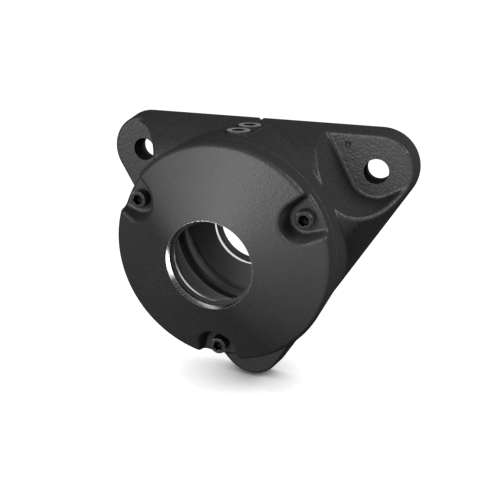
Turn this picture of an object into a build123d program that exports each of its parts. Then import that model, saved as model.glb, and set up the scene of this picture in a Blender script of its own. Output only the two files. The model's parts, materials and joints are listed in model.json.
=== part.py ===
from build123d import *
import os
from math import cos, pi, radians, sin, tan

# Flanged bearing housing: a triangular iron casting with three bolt ears, a round
# cover held by three socket head screws, and a rubber lip seal on each side.
# The shaft axis is Y, the front faces -Y and +Z is up. The origin is on the axis,
# in the plane of the mounting face. Heights are measured forward from that face.
# All lengths are in millimetres and all angles in degrees.

# Flange and triangular shoulder
ear_radius = 22.4
bolt_hole = 14.0
flange_draft = 8.7
pad_height = 14.2
shoulder_start = 4.0
shoulder_ridge = 1.5
cast_edge = 2.0

# Scooped pockets that clear the bolt heads: the metal left beside them on the ear
# and towards the barrel
ear_wall = 6.9
pocket_gap = 4.92
pocket_draft = 11.0
pocket_foot = 2.4

# Barrel and the spaces inside it
joint_height = 56.0
barrel_wall = 19.7
barrel_draft = 0.9
barrel_blend = 3.0
bearing_diameter = 85.0
bearing_width = 23.0
cavity_depth = 12.0
cavity_shoulder = 2.5
cavity_fillet = 3.5
rear_wall = 9.0
rear_recess_depth = 5.5
rear_recess_border = 11.5
seat_chamfer = 1.0
joint_chamfer = 0.25

# Shaft openings and seals
shaft_diameter = 45.0
shaft_gap = 2.0
seal_groove_width = 5.0
seal_groove_depth = 4.5
rear_land = 2.5
front_land = 4.2
seal_fit = 0.05
seal_recess = 0.8
lip_clearance = 0.05
lip_tip = 3.6
lip_width = 0.8
lip_root = 2.0

# Grease holes
grease_hole = 6.8
grease_boss = 13.0
grease_boss_rise = 0.65
grease_pad_width = 16.0
grease_pad_margin = 8.0
grease_pad_sink = 0.2

# Cover
cover_rim_height = 12.0
cover_slope = 19.0
cover_edge = 3.8
cover_lip_thickness = 13.3
cover_cavity_fillet = 3.0
spigot_wall = 5.0
spigot_fit = 0.05

# Cover screws and the pockets around their heads
screw_inset = 8.2
screw_diameter = 6.0
screw_length = 20.0
screw_tip = 0.6
head_diameter = 9.8
head_height = 6.0
head_edge = 0.5
socket_width = 5.0
socket_depth = 3.0
screw_clearance = 0.3
thread_clearance = 0.05
thread_spare = 3.0
screw_floor = 7.0
screw_pocket_radius = 8.8
screw_pocket_flare = 12.0
screw_pocket_draft = 14.0
screw_pocket_foot = 2.4
screw_pocket_edge = 2.2

# Cast marks
dimple_from_hole = (-7.6, 20.2)
dimple_radius = 2.2
dimple_depth = 1.0
mark_half_width = 1.5
mark_depth = 1.3
mark_length = 6.0

# Extra depth that makes a cut pass clean through a face
overcut = 1.0

ear_angles = (30, 150, 270)
screw_names = ("cover_screw_right", "cover_screw_left", "cover_screw_bottom")
bore_radius = shaft_diameter / 2 + shaft_gap
lip_radius = shaft_diameter / 2 + lip_clearance
seal_ring_radius = bore_radius + seal_recess
groove_radius = bore_radius + seal_groove_depth
seat_radius = bearing_diameter / 2
cavity_radius = seat_radius - cavity_shoulder
cover_cavity_radius = seat_radius - spigot_wall
rear_recess_radius = bore_radius + rear_recess_border
barrel_radius = seat_radius + barrel_wall
barrel_lean = tan(radians(barrel_draft))
barrel_root_radius = barrel_radius + joint_height * barrel_lean
pocket_radius = ear_radius - ear_wall
ear_centre = barrel_root_radius + pocket_gap + pocket_radius
flange_edge = ear_centre * cos(pi / 3) + ear_radius
screw_centre = barrel_radius - screw_inset
wall_face = rear_recess_depth + rear_wall
shoulder_face = wall_face + cavity_depth
spigot_end = shoulder_face + bearing_width
rear_groove = wall_face - rear_land - seal_groove_width
rim_top = joint_height + cover_rim_height
front_face = rim_top + (barrel_radius - bore_radius) * tan(radians(cover_slope))
front_groove = front_face - front_land - seal_groove_width
cover_inside = front_face - cover_lip_thickness
screw_seat = joint_height + screw_floor
grease_rear = (wall_face + shoulder_face) / 2
grease_front = shoulder_face + bearing_width / 2

# The flange's sides roll over along one radius, from just above the pads to a flat
# top that ends just inside the pocket walls. The radius follows from both ends.
roll_start = pad_height + shoulder_start
roll_reach = tan(radians(45 - flange_draft / 2))
roll_span = flange_edge - roll_start * tan(radians(flange_draft))
roll_span -= (ear_centre - pocket_radius - shoulder_start * tan(radians(pocket_draft)) - shoulder_ridge) / 2
roll_slope = 1 + sin(radians(flange_draft)) - cos(radians(flange_draft)) * tan(radians(pocket_draft)) / 2
shoulder_blend = roll_span / roll_slope / roll_reach
shoulder_height = roll_start + roll_span / roll_slope * cos(radians(flange_draft))
shoulder_edge = flange_edge - shoulder_height * tan(radians(flange_draft))

grease_boss_top = barrel_root_radius - grease_rear * barrel_lean + grease_boss_rise
grease_pad_start = grease_rear - grease_pad_margin
grease_pad_end = grease_front + grease_pad_margin
grease_pad_crown = barrel_root_radius - grease_pad_sink
far = 4 * ear_centre

os.makedirs("parts", exist_ok=True)


def meridian(angle):
    """Plane through the axis: x runs outward at the angle, y runs forward."""
    c = cos(radians(angle))
    s = sin(radians(angle))
    return Plane(origin=(0, 0, 0), x_dir=(c, 0, s), z_dir=(s, 0, -c))


def shared_edges(edges, skin, cores):
    """Edges where the cores have broken through the skin."""
    walls = Compound([face for core in cores for face in core.faces()])
    return [e for e in edges if skin.distance_to(e @ 0.5) < 0.001 and walls.distance_to(e @ 0.5) < 0.001]


# Core that forms one ear pocket, drawn for an ear on the +X side. Its wall runs
# straight across the ear on one side, rounds the bolt hole and leaves on the other.
with BuildPart() as ear_core:
    with BuildSketch(Plane.XZ.offset(pad_height)):
        with BuildLine():
            bend = CenterArc((ear_centre, 0), pocket_radius, 180, 90)
            Polyline(
                bend @ 1,
                (ear_centre + far, -pocket_radius),
                (ear_centre + far, far),
                (ear_centre - pocket_radius, far),
                bend @ 0,
            )
        make_face()
    extrude(amount=shoulder_height, taper=-pocket_draft)
    fillet(ear_core.faces().sort_by(Axis.Y)[-1].edges(), pocket_foot)

# Barrel of the casting, a little narrower at the joint than at the mounting face.
with BuildPart() as barrel:
    with BuildSketch(meridian(0)):
        with BuildLine():
            Polyline(
                (0, 0),
                (barrel_root_radius, 0),
                (barrel_radius, joint_height),
                (0, joint_height),
                close=True,
            )
        make_face()
        corners = vertices().filter_by_position(Axis.Y, joint_height, joint_height)
        chamfer(corners.sort_by(Axis.X)[-1], joint_chamfer)
    revolve(axis=Axis.Y)

# Housing body, one iron casting, machined in its bores and on its mounting face.
# It starts as a drafted plate whose three sides roll over into a high shoulder.
with BuildPart() as housing_body:
    with BuildSketch(Plane.XZ):
        RegularPolygon(radius=2 * flange_edge, side_count=3, rotation=30)
        fillet(vertices(), ear_radius)
    extrude(amount=shoulder_height, taper=flange_draft)
    for angle in ear_angles:
        with BuildSketch(meridian(angle + 60)):
            with BuildLine():
                Polyline(
                    (-far, 0),
                    (flange_edge, 0),
                    (shoulder_edge, shoulder_height),
                    (-far, shoulder_height),
                    close=True,
                )
            make_face()
            fillet(vertices().sort_by(Axis.X)[-2], shoulder_blend)
        extrude(amount=far, both=True, mode=Mode.INTERSECT)

    # The three ear pockets are taken out and their rims and pad edges rounded.
    skin = Compound(faces())
    cores = [ear_core.part.rotate(Axis.Y, -angle) for angle in ear_angles]
    add(cores, mode=Mode.SUBTRACT)
    fillet(shared_edges(edges(), skin, cores), cast_edge)

    # The round barrel stands through the triangle and blends into its surfaces.
    skin = Compound(faces())
    add(barrel.part)
    seams = shared_edges(edges(), skin, [barrel.part])
    fillet([edge for edge in seams if (edge @ 0.5).Y < -cast_edge], barrel_blend)

    # Flat pad just under the barrel's crown, with ring bosses for the two grease holes.
    with BuildSketch(meridian(90)):
        with BuildLine():
            Polyline(
                (seat_radius, grease_pad_start),
                (grease_pad_crown - grease_pad_start * barrel_lean, grease_pad_start),
                (grease_pad_crown - grease_pad_end * barrel_lean, grease_pad_end),
                (seat_radius, grease_pad_end),
                close=True,
            )
        make_face()
    extrude(amount=grease_pad_width / 2, both=True)
    with BuildSketch(Plane.XY.offset(grease_boss_top)):
        with Locations((0, -grease_rear), (0, -grease_front)):
            Circle(grease_boss / 2)
    extrude(amount=seat_radius - grease_boss_top)
    with BuildSketch(Plane.XY.offset(grease_boss_top)):
        with Locations((0, -grease_rear), (0, -grease_front)):
            Circle(grease_hole / 2)
    extrude(amount=-grease_boss_top, mode=Mode.SUBTRACT)

    # Rear recess, shaft opening, grease space and bearing seat, turned on the axis.
    with BuildSketch(meridian(0)):
        with BuildLine():
            Polyline(
                (0, -overcut),
                (rear_recess_radius, -overcut),
                (rear_recess_radius, rear_recess_depth),
                (bore_radius, rear_recess_depth),
                (bore_radius, wall_face),
                (cavity_radius, wall_face),
                (cavity_radius, shoulder_face),
                (seat_radius, shoulder_face),
                (seat_radius, joint_height - seat_chamfer),
                (seat_radius + seat_chamfer, joint_height),
                (seat_radius + seat_chamfer, joint_height + overcut),
                (0, joint_height + overcut),
                close=True,
            )
        make_face()
        corners = vertices().filter_by_position(Axis.X, cavity_radius, cavity_radius)
        fillet(corners.sort_by(Axis.Y)[0], cavity_fillet)
    revolve(axis=Axis.Y, mode=Mode.SUBTRACT)
    with BuildSketch(meridian(0)):
        with Locations((bore_radius, rear_groove)):
            Rectangle(seal_groove_depth, seal_groove_width, align=(Align.MIN, Align.MIN))
    revolve(axis=Axis.Y, mode=Mode.SUBTRACT)

    # Bolt holes through the ears and tapped holes for the cover screws.
    with BuildSketch(Plane.XZ):
        with PolarLocations(ear_centre, 3, start_angle=ear_angles[0]):
            Circle(bolt_hole / 2)
    extrude(amount=pad_height + overcut, mode=Mode.SUBTRACT)
    with BuildSketch(Plane.XZ.offset(joint_height)):
        with PolarLocations(screw_centre, 3, start_angle=ear_angles[0]):
            Circle(screw_diameter / 2 + thread_clearance)
    extrude(amount=-(screw_length - screw_floor + thread_spare), mode=Mode.SUBTRACT)

    # Cast centring dimple on each ear pad, and the notch that marks the top.
    for angle in ear_angles:
        c = cos(radians(angle))
        s = sin(radians(angle))
        u = ear_centre + dimple_from_hole[0]
        v = dimple_from_hole[1]
        with Locations((u * c - v * s, -pad_height - dimple_radius + dimple_depth, u * s + v * c)):
            Sphere(dimple_radius, mode=Mode.SUBTRACT)
    with BuildSketch(Plane.XZ):
        with BuildLine():
            Polyline(
                (0, flange_edge - mark_depth),
                (mark_half_width, flange_edge),
                (mark_half_width, flange_edge + overcut),
                (-mark_half_width, flange_edge + overcut),
                (-mark_half_width, flange_edge),
                close=True,
            )
        make_face()
    extrude(amount=mark_length, mode=Mode.SUBTRACT)

housing_body.part.label = "housing_body"
export_step(housing_body.part, "parts/housing_body.step")


# Core that forms one screw pocket in the cover, drawn on the +X side: a round
# recess about the screw head that opens outward through the rim.
with BuildPart() as screw_core:
    with BuildSketch(Plane.XZ.offset(screw_seat)):
        with BuildLine():
            flare = screw_pocket_flare
            bend = CenterArc((screw_centre, 0), screw_pocket_radius, 90 + flare, 180 - 2 * flare)
            reach = Vector(cos(radians(flare)), sin(radians(flare))) * barrel_radius
            Polyline(
                bend @ 0,
                bend @ 0 + reach,
                bend @ 1 + Vector(reach.X, -reach.Y),
                bend @ 1,
            )
        make_face()
    extrude(amount=front_face, taper=-screw_pocket_draft)
    fillet(screw_core.faces().sort_by(Axis.Y)[-1].edges(), screw_pocket_foot)

# Front cover, an iron casting with a conical face, a spigot that centres it in the
# bearing seat, and a groove for the front seal.
with BuildPart() as front_cover:
    with BuildSketch(meridian(0)):
        with BuildLine():
            Polyline(
                (cover_cavity_radius, spigot_end),
                (seat_radius - spigot_fit, spigot_end),
                (seat_radius - spigot_fit, joint_height),
                (barrel_radius, joint_height),
                (barrel_radius - cover_rim_height * barrel_lean, rim_top),
                (bore_radius, front_face),
                (bore_radius, cover_inside),
                (cover_cavity_radius, cover_inside),
                close=True,
            )
        make_face()
        fillet(vertices().sort_by(Axis.X)[-2], cover_edge)
        chamfer(vertices().sort_by(Axis.X)[-1], joint_chamfer)
        corners = vertices().filter_by_position(Axis.Y, cover_inside, cover_inside)
        fillet(corners.sort_by(Axis.X)[-1], cover_cavity_fillet)
    revolve(axis=Axis.Y)
    skin = Compound(faces())
    cores = [screw_core.part.rotate(Axis.Y, -angle) for angle in ear_angles]
    add(cores, mode=Mode.SUBTRACT)
    fillet(shared_edges(edges(), skin, cores), screw_pocket_edge)
    with BuildSketch(meridian(0)):
        with Locations((bore_radius, front_groove)):
            Rectangle(seal_groove_depth, seal_groove_width, align=(Align.MIN, Align.MIN))
    revolve(axis=Axis.Y, mode=Mode.SUBTRACT)
    with BuildSketch(Plane.XZ.offset(joint_height - overcut)):
        with PolarLocations(screw_centre, 3, start_angle=ear_angles[0]):
            Circle(screw_diameter / 2 + screw_clearance)
    extrude(amount=screw_floor + 2 * overcut, mode=Mode.SUBTRACT)

front_cover.part.label = "front_cover"
export_step(front_cover.part, "parts/front_cover.step")


# Three socket head cap screws that hold the cover, at the same angles as the ears.
for name, angle in zip(screw_names, ear_angles):
    spot = (screw_centre * cos(radians(angle)), screw_centre * sin(radians(angle)))
    with BuildPart() as cover_screw:
        with BuildSketch(Plane.XZ.offset(screw_seat)):
            with Locations(spot):
                Circle(head_diameter / 2)
        extrude(amount=head_height)
        fillet(cover_screw.faces().sort_by(Axis.Y)[0].edges(), head_edge)
        with BuildSketch(Plane.XZ.offset(screw_seat + head_height)):
            with Locations(spot):
                RegularPolygon(radius=socket_width / 2, side_count=6, major_radius=False)
        extrude(amount=-socket_depth, mode=Mode.SUBTRACT)
        with BuildSketch(Plane.XZ.offset(screw_seat)):
            with Locations(spot):
                Circle(screw_diameter / 2)
        extrude(amount=-screw_length)
        chamfer(cover_screw.faces().sort_by(Axis.Y)[-1].edges(), screw_tip)
    cover_screw.part.label = name
    export_step(cover_screw.part, f"parts/{name}.step")


# Rubber lip seals. Each fills its groove and leans its lip outward to the shaft.
for name, base, way in (
    ("front_shaft_seal", front_groove, 1),
    ("rear_shaft_seal", rear_groove + seal_groove_width, -1),
):
    with BuildPart() as shaft_seal:
        with BuildSketch(meridian(0)):
            with BuildLine():
                Polyline(
                    (groove_radius - seal_fit, base + way * seal_fit),
                    (groove_radius - seal_fit, base + way * (seal_groove_width - seal_fit)),
                    (seal_ring_radius, base + way * (seal_groove_width - seal_fit)),
                    (seal_ring_radius, base + way * lip_tip),
                    (lip_radius, base + way * (lip_tip + lip_width)),
                    (lip_radius, base + way * lip_tip),
                    (seal_ring_radius, base + way * (lip_tip - lip_root)),
                    (seal_ring_radius, base + way * seal_fit),
                    close=True,
                )
            make_face()
        revolve(axis=Axis.Y)
    shaft_seal.part.label = name
    export_step(shaft_seal.part, f"parts/{name}.step")
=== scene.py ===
import bpy
import json
from math import cos, pi, radians, sin
from mathutils import Matrix, Vector


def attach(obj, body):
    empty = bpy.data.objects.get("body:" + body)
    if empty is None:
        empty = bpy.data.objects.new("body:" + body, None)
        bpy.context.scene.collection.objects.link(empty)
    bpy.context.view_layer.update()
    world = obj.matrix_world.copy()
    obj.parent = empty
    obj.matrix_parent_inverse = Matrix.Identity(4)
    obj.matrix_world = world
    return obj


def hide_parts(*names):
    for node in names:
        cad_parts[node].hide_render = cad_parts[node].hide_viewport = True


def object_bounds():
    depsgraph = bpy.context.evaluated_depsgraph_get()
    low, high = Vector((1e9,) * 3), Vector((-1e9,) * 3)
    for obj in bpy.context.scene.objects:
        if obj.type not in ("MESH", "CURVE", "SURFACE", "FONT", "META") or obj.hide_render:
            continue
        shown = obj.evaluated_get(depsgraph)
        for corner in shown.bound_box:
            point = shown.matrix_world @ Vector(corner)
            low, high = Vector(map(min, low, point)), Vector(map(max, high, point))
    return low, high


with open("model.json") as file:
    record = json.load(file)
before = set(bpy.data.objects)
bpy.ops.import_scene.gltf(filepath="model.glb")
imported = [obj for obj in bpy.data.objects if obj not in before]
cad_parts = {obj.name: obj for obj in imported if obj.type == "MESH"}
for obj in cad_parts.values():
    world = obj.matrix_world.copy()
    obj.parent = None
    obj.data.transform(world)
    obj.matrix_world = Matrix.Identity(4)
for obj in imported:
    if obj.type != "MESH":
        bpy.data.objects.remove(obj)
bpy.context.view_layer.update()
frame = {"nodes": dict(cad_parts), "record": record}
mounts = {mount["name"]: mount for mount in frame["record"]["mounts"]}

# Housing. One sand casting in grey iron: the triangular flange with its three scooped
# ears, and the round barrel. It is painted dark grey, then its bores, the bearing seat,
# the mounting face and the holes are machined and stay bare. Its bare inside is drawn
# lighter as painted light, the seat wall carries a painted light band and a painted
# shade band, and the grease holes are filled with painted shade. Three bolts hold it.
housing_grain = 0.42
housing_count = 780.0
grain_roundness = 0.8
skin_depth = 0.00050
dent_count = 170.0
dent_share = 0.15
cloud_count = 42.0
grain_tops = (0.50, 0.95)
edge_width = 0.0006
edge_fold = (0.99, 0.90)
rub_count = 320.0
rub_patches = (0.42, 0.64)

paint_dark = (0.0190, 0.0191, 0.0195, 1.0)
paint_light = (0.0275, 0.0276, 0.0282, 1.0)
# Lighter paint at sharp edges: partly rubbed wear, partly a painted highlight along the edges.
paint_rubbed_edge_highlight = (0.060, 0.060, 0.059, 1.0)
paint_tones = (0.35, 0.65)
paint_roughness = 0.45
paint_ior = 1.47
gloss_limits = (0.0, 0.32)

# Bare cast iron, drawn lighter than it is so that the inside of the bore and hollow looks lit:
# partly bare iron, partly painted light.
bare_iron_painted_lighter = (0.125, 0.124, 0.122, 1.0)
cast_shine = 0.0
cast_roughness = (0.52, 0.58)
roughness_tones = (0.3, 0.7)
# Painted light and painted shade on the bearing seat's wall: lighter near the mouth, darker deep by
# the shoulder, as light falls in through the bore.
seat_painted_light = (0.42, 0.418, 0.413, 1.0)
seat_painted_shade = (0.045, 0.045, 0.044, 1.0)
# Painted shade: the grease holes' walls drawn near black, as shade fills the narrow holes.
hole_painted_shade = (0.005, 0.005, 0.005, 1.0)
iron_turned = (0.74, 0.735, 0.725, 1.0)
turned_roughness = 0.14
milled_dark = (0.25, 0.249, 0.246, 1.0)
milled_light = (0.40, 0.398, 0.392, 1.0)
milled_roughness = 0.34
ring_count = 1300.0
ring_tones = (0.3, 0.7)

fit = 0.0001
land_radius = 0.0245
land_front = 0.0144
seat_radius = 0.0425
seat_light_band_start = 0.0315
seat_shoulder = 0.0263
# A thin painted shade line around the inside where the cavity wall steps.
step_shade_line = 0.0212
step_shade_line_half = 0.0005
grease_holes = ("front_grease_hole", "rear_grease_hole")
grease_places = [mounts[name]["pos_m"][1] for name in grease_holes]
grease_radius = mounts["front_grease_hole"]["dims"]["r_mm"] / 1000
grease_pitch = 0.001
grease_thread = 0.8
boss_top = 0.06335
boss_reach = 0.0066


def new_group(name, inputs, outputs):
    """Shader node group of number sockets, and its two end nodes."""
    group = bpy.data.node_groups.new(name, "ShaderNodeTree")
    sockets = group.interface
    for label, value in inputs:
        socket = sockets.new_socket(label, in_out="INPUT", socket_type="NodeSocketFloat")
        socket.default_value = value
    for label in outputs:
        sockets.new_socket(label, in_out="OUTPUT", socket_type="NodeSocketFloat")
    return group, group.nodes.new("NodeGroupInput"), group.nodes.new("NodeGroupOutput")


def feed(tree, slot, value):
    """Gives a socket a number, a colour or a link."""
    if isinstance(value, (int, float, tuple)):
        slot.default_value = value
    elif value is not None:
        tree.links.new(value, slot)


def maths(tree, operation, first, second=None, third=None):
    """Math node on sockets or numbers."""
    node = tree.nodes.new("ShaderNodeMath")
    node.operation = operation
    for slot, value in zip(node.inputs, (first, second, third)):
        feed(tree, slot, value)
    return node.outputs[0]


def both(tree, first, second):
    """Product: where two masks meet, or a value inside a mask."""
    return maths(tree, "MULTIPLY", first, second)


def either(tree, first, second):
    """The higher of two masks."""
    return maths(tree, "MAXIMUM", first, second)


def rest(tree, mask):
    """All that a mask leaves out."""
    return maths(tree, "SUBTRACT", 1.0, mask)


def below(tree, value, limit):
    """Mask where a value is under a limit."""
    return maths(tree, "LESS_THAN", value, limit)


def above(tree, value, limit):
    """Mask where a value is over a limit."""
    return maths(tree, "GREATER_THAN", value, limit)


def stretch(tree, value, low, high, to_low=0.0, to_high=1.0):
    """Map Range node from two limits to two new ones, held at them."""
    node = tree.nodes.new("ShaderNodeMapRange")
    feed(tree, node.inputs["Value"], value)
    limits = {"From Min": low, "From Max": high, "To Min": to_low, "To Max": to_high}
    for label, number in limits.items():
        feed(tree, node.inputs[label], number)
    return node.outputs["Result"]


def mixed(tree, factor, first, second, kind="RGBA"):
    """Mix node for two colours or two numbers."""
    node = tree.nodes.new("ShaderNodeMix")
    node.data_type = kind
    wanted = "RGBA" if kind == "RGBA" else "VALUE"
    slots = [slot for slot in node.inputs if slot.type == wanted]
    feed(tree, node.inputs[0], factor)
    feed(tree, slots[-2], first)
    feed(tree, slots[-1], second)
    return [slot for slot in node.outputs if slot.type == wanted][0]


def noise(tree, place, scale, detail, roughness=0.5):
    """Noise texture at a place, as a value around a half."""
    node = tree.nodes.new("ShaderNodeTexNoise")
    node.inputs["Scale"].default_value = scale
    node.inputs["Detail"].default_value = detail
    node.inputs["Roughness"].default_value = roughness
    tree.links.new(place, node.inputs["Vector"])
    return node.outputs["Fac"]


def pebbles(tree, place, scale):
    """Rounded pebbles close together, as the sand of a mould leaves them, high in the middle."""
    node = tree.nodes.new("ShaderNodeTexVoronoi")
    node.feature = "SMOOTH_F1"
    node.inputs["Smoothness"].default_value = grain_roundness
    feed(tree, node.inputs["Scale"], scale)
    tree.links.new(place, node.inputs["Vector"])
    return rest(tree, node.outputs["Distance"])


def object_place(tree):
    """The part's own coordinates in metres: the vector, and x, y and z apart."""
    place = tree.nodes.new("ShaderNodeTexCoord").outputs["Object"]
    parts = tree.nodes.new("ShaderNodeSeparateXYZ")
    tree.links.new(place, parts.inputs[0])
    return place, parts.outputs["X"], parts.outputs["Y"], parts.outputs["Z"]


def away(tree, first, second, first_centre=0.0, second_centre=0.0):
    """Distance of two coordinates from a point, such as a hole's axis."""
    node = tree.nodes.new("ShaderNodeCombineXYZ")
    feed(tree, node.inputs[0], maths(tree, "SUBTRACT", first, first_centre))
    feed(tree, node.inputs[1], maths(tree, "SUBTRACT", second, second_centre))
    length = tree.nodes.new("ShaderNodeVectorMath")
    length.operation = "LENGTH"
    tree.links.new(node.outputs[0], length.inputs[0])
    return length.outputs["Value"]


def cast_skin():
    """Sand-cast skin under one coat of paint: grain, soft dents, tone, and lighter edges that are
    partly rubbed paint and partly a painted highlight along the edges.
    """
    group, given, result = new_group(
        "cast_skin",
        (("Grain Depth", housing_grain), ("Grain Count", housing_count), ("Edge Width", edge_width)),
        ("Height", "Tone", "Wear And Edge Highlight"),
    )
    place = object_place(group)[0]
    sand = pebbles(group, place, given.outputs["Grain Count"])
    dents = noise(group, place, dent_count, 2.0)
    height = maths(group, "MULTIPLY", sand, given.outputs["Grain Depth"])
    height = maths(group, "ADD", height, maths(group, "MULTIPLY", dents, dent_share))
    group.links.new(height, result.inputs["Height"])

    clouds = noise(group, place, cloud_count, 4.0, 0.6)
    raised = stretch(group, sand, *grain_tops)
    tone = maths(group, "MULTIPLY", maths(group, "ADD", clouds, raised), 0.5)
    group.links.new(tone, result.inputs["Tone"])

    bevel = group.nodes.new("ShaderNodeBevel")
    bevel.samples = 4
    group.links.new(given.outputs["Edge Width"], bevel.inputs["Radius"])
    match = group.nodes.new("ShaderNodeVectorMath")
    match.operation = "DOT_PRODUCT"
    true_normal = group.nodes.new("ShaderNodeNewGeometry").outputs["Normal"]
    group.links.new(bevel.outputs["Normal"], match.inputs[0])
    group.links.new(true_normal, match.inputs[1])
    edge = stretch(group, match.outputs["Value"], *edge_fold)
    rubbed = stretch(group, noise(group, place, rub_count, 4.0, 0.7), *rub_patches)
    group.links.new(both(group, edge, rubbed), result.inputs["Wear And Edge Highlight"])
    return group


def housing_zones():
    """Where the housing is bare: cast inside, turned on its land, milled behind, drilled on top; and
    where light and shade are painted inside it: a painted light band and a painted shade band on the
    seat wall, a painted shade line at the step, and painted shade in the grease holes.
    """
    group, given, result = new_group(
        "housing_zones",
        (("Fit", fit),),
        ("Bare", "Painted Light", "Painted Shade", "Hole Shade", "Smooth")
        + ("Turned", "Milled", "Rings", "Roughness", "Relief"),
    )
    x, y, z = object_place(group)[1:]
    spare = given.outputs["Fit"]
    forward = maths(group, "MULTIPLY", y, -1.0)
    radius = away(group, x, z)
    inside = below(group, radius, maths(group, "ADD", spare, seat_radius))
    land = below(group, radius, maths(group, "ADD", spare, land_radius))

    recess = both(group, inside, below(group, forward, land_front))
    face = below(group, forward, spare)
    milled = either(group, both(group, recess, rest(group, land)), face)
    turned = either(group, land, milled)

    near = maths(group, "MINIMUM", *[away(group, x, y, 0.0, reach) for reach in grease_places])
    # Inside the grease holes: painted near black as shade, with a thread given by bump.
    hole = both(group, below(group, near, grease_radius + fit), above(group, z, seat_radius))
    top = both(group, above(group, z, boss_top), below(group, near, boss_reach))
    top = both(group, top, rest(group, hole))

    seat = both(group, inside, above(group, forward, seat_shoulder))
    wall = both(group, seat, above(group, radius, seat_radius - fit))
    # Painted light on the front part of the seat wall, painted shade on its deep part and on the
    # step line.
    painted_light_band = both(group, wall, above(group, forward, seat_light_band_start))
    # Painted shade: a thin dark line around the inside at the step.
    shade_line = maths(group, "COMPARE", forward, step_shade_line, step_shade_line_half)
    shade_line = both(group, inside, shade_line)
    painted_shade_band = either(group, maths(group, "SUBTRACT", wall, painted_light_band), shade_line)
    step = both(group, inside, above(group, forward, step_shade_line))

    rough = stretch(group, milled, 0.0, 1.0, turned_roughness, milled_roughness)
    swirl = group.nodes.new("ShaderNodeCombineXYZ")
    group.links.new(radius, swirl.inputs[0])
    turns = maths(group, "SINE", maths(group, "MULTIPLY", z, 2 * pi / grease_pitch))
    turns = maths(group, "MULTIPLY", turns, grease_thread)
    zones = {
        "Bare": either(group, either(group, inside, turned), top),
        "Painted Light": painted_light_band,
        "Painted Shade": painted_shade_band,
        "Hole Shade": hole,
        "Smooth": either(group, step, top),
        "Turned": turned,
        "Milled": milled,
        "Rings": noise(group, swirl.outputs[0], ring_count, 3.0, 0.7),
        "Roughness": rough,
        "Relief": both(group, hole, turns),
    }
    for label, zone in zones.items():
        group.links.new(zone, result.inputs[label])
    return group


def cast_iron(name, skin, zones, grain, count):
    """Painted cast iron that is bare, dull or turned bright where its zones say so."""
    material = bpy.data.materials.new(name)
    material.use_nodes = True
    tree = material.node_tree
    shader = tree.nodes["Principled BSDF"]
    shader.inputs["Specular IOR Level"].default_value = cast_shine
    shader.inputs["Coat Roughness"].default_value = paint_roughness
    shader.inputs["Coat IOR"].default_value = paint_ior
    surface = tree.nodes.new("ShaderNodeGroup")
    surface.node_tree = skin
    surface.inputs["Grain Depth"].default_value = grain
    surface.inputs["Grain Count"].default_value = count
    zone = tree.nodes.new("ShaderNodeGroup")
    zone.node_tree = zones
    tone = surface.outputs["Tone"]
    turned = zone.outputs["Turned"]
    bare = zone.outputs["Bare"]
    smooth = zone.outputs["Smooth"]

    painted = mixed(tree, stretch(tree, tone, *paint_tones), paint_dark, paint_light)
    # Lighter edges: partly rubbed paint, partly a painted edge highlight.
    worn_and_edge_lit = both(tree, surface.outputs["Wear And Edge Highlight"], rest(tree, smooth))
    painted = mixed(tree, worn_and_edge_lit, painted, paint_rubbed_edge_highlight)
    dull = mixed(tree, bare, painted, bare_iron_painted_lighter)
    # Painted light and painted shade inside the housing: the seat wall's bands, the step line and
    # the grease holes.
    for label, colour in (("Painted Light", seat_painted_light), ("Painted Shade", seat_painted_shade), ("Hole Shade", hole_painted_shade)):
        if label in zone.outputs:
            dull = mixed(tree, zone.outputs[label], dull, colour)
    bright = iron_turned
    if "Milled" in zone.outputs:
        rings = stretch(tree, zone.outputs["Rings"], *ring_tones)
        milled = mixed(tree, rings, milled_dark, milled_light)
        bright = mixed(tree, zone.outputs["Milled"], iron_turned, milled)
    tree.links.new(mixed(tree, turned, dull, bright), shader.inputs["Base Color"])
    tree.links.new(turned, shader.inputs["Metallic"])
    rough = stretch(tree, tone, *roughness_tones, *cast_roughness)
    rough = mixed(tree, turned, rough, zone.outputs["Roughness"], "FLOAT")
    tree.links.new(rough, shader.inputs["Roughness"])

    bump = tree.nodes.new("ShaderNodeBump")
    bump.inputs["Strength"].default_value = 1.0
    bump.inputs["Distance"].default_value = skin_depth
    height = both(tree, surface.outputs["Height"], rest(tree, either(tree, turned, smooth)))
    height = maths(tree, "ADD", height, zone.outputs["Relief"])
    tree.links.new(height, bump.inputs["Height"])
    tree.links.new(bump.outputs["Normal"], shader.inputs["Normal"])
    tree.links.new(bump.outputs["Normal"], shader.inputs["Coat Normal"])

    slant = tree.nodes.new("ShaderNodeLayerWeight")
    slant.inputs["Blend"].default_value = 0.5
    gloss = stretch(tree, slant.outputs["Facing"], *gloss_limits, 1.0, 0.0)
    tree.links.new(both(tree, gloss, rest(tree, bare)), shader.inputs["Coat Weight"])
    return material


skin = cast_skin()
housing = frame["nodes"]["housing_body"]
housing.data.materials.clear()
housing_iron = cast_iron("housing_iron", skin, housing_zones(), housing_grain, housing_count)
housing.data.materials.append(housing_iron)

# Front cover. A second iron casting, poured in finer sand, with the same paint. Its bore
# is turned bright, with a lead-in at the mouth, and its hollow inside stays as cast, its
# bare iron drawn lighter as painted light. Its spigot sits in the bearing seat, and
# three screws hold it.
cover_grain = 0.28
cover_count = 950.0
cover_hollow_radius = 0.0378
cover_hollow_front = 0.0679
cover_land_back = 0.0703
cover_land_middle = 0.0745
lip_front = 0.08098
lip_slope = 0.60
lip_border = 0.0012
lip_roughness = 0.16
lip_fit = 0.00002


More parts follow.
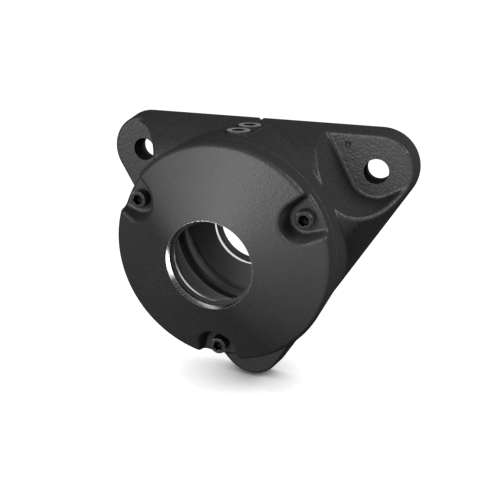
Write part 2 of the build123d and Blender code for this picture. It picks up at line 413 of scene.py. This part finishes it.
def cover_zones():
    """Where the cover is bare: its bore is turned bright, and its hollow is as cast, drawn lighter
    as painted light.
    """
    group, given, result = new_group(
        "cover_zones",
        (("Fit", lip_fit),),
        ("Bare", "Smooth", "Turned", "Roughness", "Relief"),
    )
    x, y, z = object_place(group)[1:]
    forward = maths(group, "MULTIPLY", y, -1.0)
    radius = away(group, x, z)
    bore = below(group, radius, maths(group, "ADD", given.outputs["Fit"], land_radius))
    land = both(group, bore, above(group, forward, cover_land_back))
    back = both(group, bore, below(group, forward, cover_land_back))
    hollow = below(group, radius, cover_hollow_radius)
    hollow = both(group, hollow, below(group, forward, cover_hollow_front))
    border = below(group, radius, land_radius + lip_border)
    front = above(group, forward, cover_land_middle)

    lead = both(group, both(group, bore, above(group, radius, land_radius - fit)), front)
    fall = maths(group, "SUBTRACT", lip_front, forward)
    fall = maths(group, "MULTIPLY", fall, lip_slope / skin_depth)
    zones = {
        "Bare": either(group, bore, hollow),
        "Smooth": either(group, back, border),
        "Turned": land,
        "Roughness": stretch(group, front, 0.0, 1.0, turned_roughness, lip_roughness),
        "Relief": both(group, lead, fall),
    }
    for label, zone in zones.items():
        group.links.new(zone, result.inputs[label])
    return group


cover = frame["nodes"]["front_cover"]
cover.data.materials.clear()
cover_iron = cast_iron("cover_iron", skin, cover_zones(), cover_grain, cover_count)
cover.data.materials.append(cover_iron)

# Cover screws. Three M6 socket head cap screws in blackened steel, with a chamfered
# head, a finely knurled side, a drilled hexagon socket and a rolled thread. They hold
# the cover to the housing.
screw_names = ("cover_screw_right", "cover_screw_left", "cover_screw_bottom")
screw_turns = (8, 21, 15)
screw_length = 0.020
head_radius = 0.0049
head_height = 0.0060
head_chamfer = 0.0006
head_chamfer_middle = 0.35
head_foot = 0.0003
head_underside = 0.0024
head_sides = 192
knurl_count = 48
knurl_depth = 0.00008
socket_flat = 0.0025
socket_depth = 0.0036
socket_chamfer = 0.00025
socket_mouth = 0.0029
socket_floor = 0.00245
socket_cone = 0.0012
socket_tip = 0.000125
thread_radius = 0.0030
thread_root = 0.00245
thread_pitch = 0.001
thread_sides = 48
thread_steps = 8
screw_black = (0.020, 0.020, 0.021, 1.0)
screw_worn = (0.055, 0.055, 0.056, 1.0)
screw_rub_count = 900.0
screw_patches = (0.40, 0.75)
screw_pit_count = 3500.0
screw_pit_depth = 0.00002
screw_roughness = (0.42, 0.30)
# Painted shade: the hexagon socket drawn near black, darker than the same steel outside.
socket_painted_shade = (0.004, 0.004, 0.004, 1.0)
socket_reach = 0.002925


def flat_edge(angle, flat):
    """Reach of a hexagon at an angle, from the distance of its flats."""
    return flat / cos((angle + pi / 6) % (pi / 3) - pi / 6)


def lathe(points, faces, rings, sides):
    """Adds rings of points about the Y axis, each a height and a radius, and joins them."""
    start = len(points)
    for height, reach in rings:
        for side in range(sides):
            angle = 2 * pi * side / sides
            radius = reach(angle) if callable(reach) else reach
            points.append((radius * cos(angle), height, radius * sin(angle)))
    for ring in range(len(rings) - 1):
        low = start + ring * sides
        for side in range(sides):
            turn = (side + 1) % sides
            faces.append((low + side, low + turn, low + sides + turn, low + sides + side))
    faces.append(tuple(range(start + sides - 1, start - 1, -1)))
    faces.append(tuple(range(start + (len(rings) - 1) * sides, start + len(rings) * sides)))


def cap_screw(name):
    """Cap screw about the Y axis, its head's seat at y = 0 and its head towards -Y."""

    def knurl(angle):
        return head_radius - knurl_depth * (0.5 + 0.5 * cos(knurl_count * angle))

    def hexagon(angle):
        return flat_edge(angle, socket_flat)

    def mouth(angle):
        return max(hexagon(angle), socket_mouth)

    points = []
    faces = []
    bend = head_chamfer * head_chamfer_middle
    head = [
        (0.0, head_underside),
        (0.0, head_radius - head_foot),
        (-head_foot, knurl),
        (head_chamfer - head_height, knurl),
        (bend - head_height, head_radius - bend),
        (-head_height, head_radius - head_chamfer),
        (-head_height, mouth),
        (socket_chamfer - head_height, hexagon),
        (socket_depth - head_height, hexagon),
        (socket_depth - head_height, socket_floor),
        (socket_depth + socket_cone - head_height, socket_tip),
    ]
    lathe(points, faces, head, head_sides)

    shank = [(-head_foot, thread_root)]
    steps = int(screw_length / thread_pitch) * thread_steps
    for step in range(steps + 1):
        rise = screw_length * step / steps
        taper = min(1.0, (screw_length - rise) / thread_pitch, rise / thread_pitch)

        def thread(angle, rise=rise, taper=taper):
            turn = (rise / thread_pitch - angle / (2 * pi)) % 1.0
            return thread_root + (thread_radius - thread_root) * taper * (1 - abs(2 * turn - 1))

        shank.append((rise, thread))
    lathe(points, faces, shank, thread_sides)
    mesh = bpy.data.meshes.new(name)
    mesh.from_pydata(points, [], faces)
    mesh.validate()
    mesh.update()
    return mesh


def blackened_steel():
    """Black oxide over steel: satin, a little brighter where tools and hands have rubbed, with
    painted shade inside the hexagon socket.
    """
    material = bpy.data.materials.new("blackened_steel")
    material.use_nodes = True
    tree = material.node_tree
    shader = tree.nodes["Principled BSDF"]
    shader.inputs["Metallic"].default_value = 1.0
    place, x, y, z = object_place(tree)
    rubbed = stretch(tree, noise(tree, place, screw_rub_count, 4.0, 0.65), *screw_patches)
    # Painted shade inside the hexagon socket.
    socket = below(tree, away(tree, x, z), socket_reach)
    socket = both(tree, socket, below(tree, y, -fit))
    socket = both(tree, socket, above(tree, y, socket_chamfer - head_height))
    outer = mixed(tree, rubbed, screw_black, screw_worn)
    tree.links.new(mixed(tree, socket, outer, socket_painted_shade), shader.inputs["Base Color"])
    rough = stretch(tree, rubbed, 0.0, 1.0, *screw_roughness)
    tree.links.new(rough, shader.inputs["Roughness"])
    bump = tree.nodes.new("ShaderNodeBump")
    bump.inputs["Strength"].default_value = 0.5
    bump.inputs["Distance"].default_value = screw_pit_depth
    tree.links.new(noise(tree, place, screw_pit_count, 3.0), bump.inputs["Height"])
    tree.links.new(bump.outputs["Normal"], shader.inputs["Normal"])
    return material


screw_steel = blackened_steel()
for node, degrees in zip(screw_names, screw_turns):
    corners = [Vector(corner) for corner in frame["nodes"][node].bound_box]
    centre = sum(corners, Vector()) / len(corners)
    seat = min(corner.y for corner in corners) + head_height
    mesh = cap_screw(node + "_detailed")
    mesh.materials.append(screw_steel)
    screw = bpy.data.objects.new(node + "_detailed", mesh)
    turn = Matrix.Rotation(radians(degrees), 4, "Y")
    screw.matrix_world = Matrix.Translation((centre.x, seat, centre.z)) @ turn
    bpy.context.scene.collection.objects.link(screw)
    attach(screw, "root")
    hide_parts(node)

# Shaft seals. Black nitrile rubber rings, moulded with fine ribs around the inside and
# pressed into their grooves, one in the cover and one in the housing's rear wall.
rubber_dark = (0.013, 0.0125, 0.0115, 1.0)
rubber_light = (0.030, 0.028, 0.025, 1.0)
rubber_shine = 0.4
rubber_roughness = (0.45, 0.62)
rib_pitch = 0.0012
rib_depth = 0.00012
rib_share = 0.6
dust_count = 500.0
dust_share = 0.6
dust_limits = (0.1, 0.5)


def seal_rubber():
    """Matte rubber with ribs around the axis, its colour lighter along the rib crests and a little
    dusty in patches.
    """
    material = bpy.data.materials.new("seal_rubber")
    material.use_nodes = True
    tree = material.node_tree
    shader = tree.nodes["Principled BSDF"]
    shader.inputs["Specular IOR Level"].default_value = rubber_shine
    place, x, y, z = object_place(tree)
    rib = maths(tree, "SINE", maths(tree, "MULTIPLY", y, 2 * pi / rib_pitch))
    dust = maths(tree, "MULTIPLY", noise(tree, place, dust_count, 4.0, 0.6), dust_share)
    # Colour lighter along the rib crests, plus random dusty patches.
    shade = maths(tree, "ADD", stretch(tree, rib, -1.0, 1.0, 0.0, rib_share), dust)
    tree.links.new(mixed(tree, shade, rubber_dark, rubber_light), shader.inputs["Base Color"])
    rough = stretch(tree, dust, *dust_limits, *rubber_roughness)
    tree.links.new(rough, shader.inputs["Roughness"])
    bump = tree.nodes.new("ShaderNodeBump")
    bump.inputs["Strength"].default_value = 1.0
    bump.inputs["Distance"].default_value = rib_depth
    tree.links.new(rib, bump.inputs["Height"])
    tree.links.new(bump.outputs["Normal"], shader.inputs["Normal"])
    return material


rubber = seal_rubber()
for node in ("front_shaft_seal", "rear_shaft_seal"):
    seal = frame["nodes"][node]
    seal.data.materials.clear()
    seal.data.materials.append(rubber)

# Floor. A plain white board just under the lowest ear. Seen directly, in bright metal
# or through glass it shows as white paper. The object's shadow on it is a painted
# shadow: its white glow is dimmed by ambient occlusion, darkest close to where the ear
# touches it.
floor_size = 6.0
floor_gap = 0.0002
floor_colour = (0.15, 0.15, 0.15, 1.0)
floor_roughness = 0.9
floor_shine = 0.1
contact_reach = 0.040
contact_samples = 16
contact_dark = 0.27
contact_open = 1.0
low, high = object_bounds()
bpy.ops.mesh.primitive_plane_add(size=floor_size, location=(0, 0, low.z - floor_gap))
floor = bpy.context.object
floor.name = "floor"
material = bpy.data.materials.new("floor_board")
material.use_nodes = True
tree = material.node_tree
shader = tree.nodes["Principled BSDF"]
shader.inputs["Base Color"].default_value = floor_colour
shader.inputs["Roughness"].default_value = floor_roughness
shader.inputs["Specular IOR Level"].default_value = floor_shine
rays = tree.nodes.new("ShaderNodeLightPath")
mirrored = either(tree, rays.outputs["Is Glossy Ray"], rays.outputs["Is Transmission Ray"])
seen = either(tree, rays.outputs["Is Camera Ray"], mirrored)
# Painted shadow: the floor's white glow is dimmed by ambient occlusion near the object.
contact_occlusion = tree.nodes.new("ShaderNodeAmbientOcclusion")
contact_occlusion.samples = contact_samples
contact_occlusion.inputs["Distance"].default_value = contact_reach
floor_glow_painted_shadow = stretch(tree, contact_occlusion.outputs["AO"], contact_dark, contact_open)
tree.links.new(both(tree, seen, floor_glow_painted_shadow), shader.inputs["Emission Strength"])
shader.inputs["Emission Color"].default_value = (1, 1, 1, 1)
floor.data.materials.append(material)

# Camera. It stands where the photograph was taken from: in front, to the right and a
# little above the shaft opening.
camera_place = (0.1239853, -0.3582271, 0.1278037)
camera_yaw = 0.3489
camera_pitch = -0.3729
camera_roll = 0.0129
camera_sensor = 36.0
camera_lens = 45.539
camera_near = 0.01
camera = bpy.data.objects.new("camera", bpy.data.cameras.new("camera"))
bpy.context.scene.collection.objects.link(camera)
turn = Matrix.Rotation(camera_yaw, 4, "Z")
turn = turn @ Matrix.Rotation(radians(90) + camera_pitch, 4, "X")
turn = turn @ Matrix.Rotation(camera_roll, 4, "Z")
camera.matrix_world = Matrix.Translation(camera_place) @ turn
camera.data.sensor_width = camera_sensor
camera.data.lens = camera_lens
camera.data.clip_start = camera_near
bpy.context.scene.camera = camera

# Lamps. A fan of soft boxes in front and on the left, which light the cover from above,
# and a strong one high on the right for the ears and the pockets.
softbox_side = 0.42
softbox_distance = 0.95
softboxes = (
    ("high_front_softbox", (0.0, -0.88, 0.47), 2.2),
    ("front_left_softbox", (-0.31, -0.87, 0.38), 4.6),
    ("left_softbox", (-0.80, -0.58, 0.18), 5.8),
    ("front_right_softbox", (0.20, -0.95, 0.25), 0.9),
    ("low_front_softbox", (-0.10, -0.98, -0.02), 1.2),
    ("right_softbox", (0.80, 0.18, 0.56), 14.0),
)
for name, direction, power in softboxes:
    data = bpy.data.lights.new(name, "AREA")
    data.shape = "SQUARE"
    data.size = softbox_side
    data.energy = power
    lamp = bpy.data.objects.new(name, data)
    place = Vector(direction).normalized() * softbox_distance
    turn = (-place).to_track_quat("-Z", "Y").to_matrix().to_4x4()
    lamp.matrix_world = Matrix.Translation(place) @ turn
    bpy.context.scene.collection.objects.link(lamp)

# Room. The camera sees it plain white. Bright metal mirrors white low down and behind,
# and nearly black high up in front, as if a dark card hung there. It also lights the
# object faintly from all round.
room_light = 0.22
card_heights = (0.12, 0.35)
card_white = 0.05
back_start = 0.2
world = bpy.data.worlds.new("studio")
bpy.context.scene.world = world
world.use_nodes = True
tree = world.node_tree
back = tree.nodes["Background"]
rays = tree.nodes.new("ShaderNodeLightPath")
direction = tree.nodes.new("ShaderNodeTexCoord").outputs["Generated"]
parts = tree.nodes.new("ShaderNodeSeparateXYZ")
tree.links.new(direction, parts.inputs[0])
behind = stretch(tree, parts.outputs["Y"], 0.0, back_start)
sky = either(tree, stretch(tree, parts.outputs["Z"], *card_heights, 1.0, card_white), behind)
mirrored = either(tree, rays.outputs["Is Glossy Ray"], rays.outputs["Is Transmission Ray"])
seen = either(tree, rays.outputs["Is Camera Ray"], both(tree, mirrored, sky))
hidden = rest(tree, either(tree, rays.outputs["Is Camera Ray"], mirrored))
unseen = maths(tree, "MULTIPLY", hidden, room_light)
tree.links.new(maths(tree, "ADD", seen, unseen), back.inputs["Strength"])
back.inputs["Color"].default_value = (1, 1, 1, 1)

bpy.context.scene.view_settings.view_transform = "Standard"
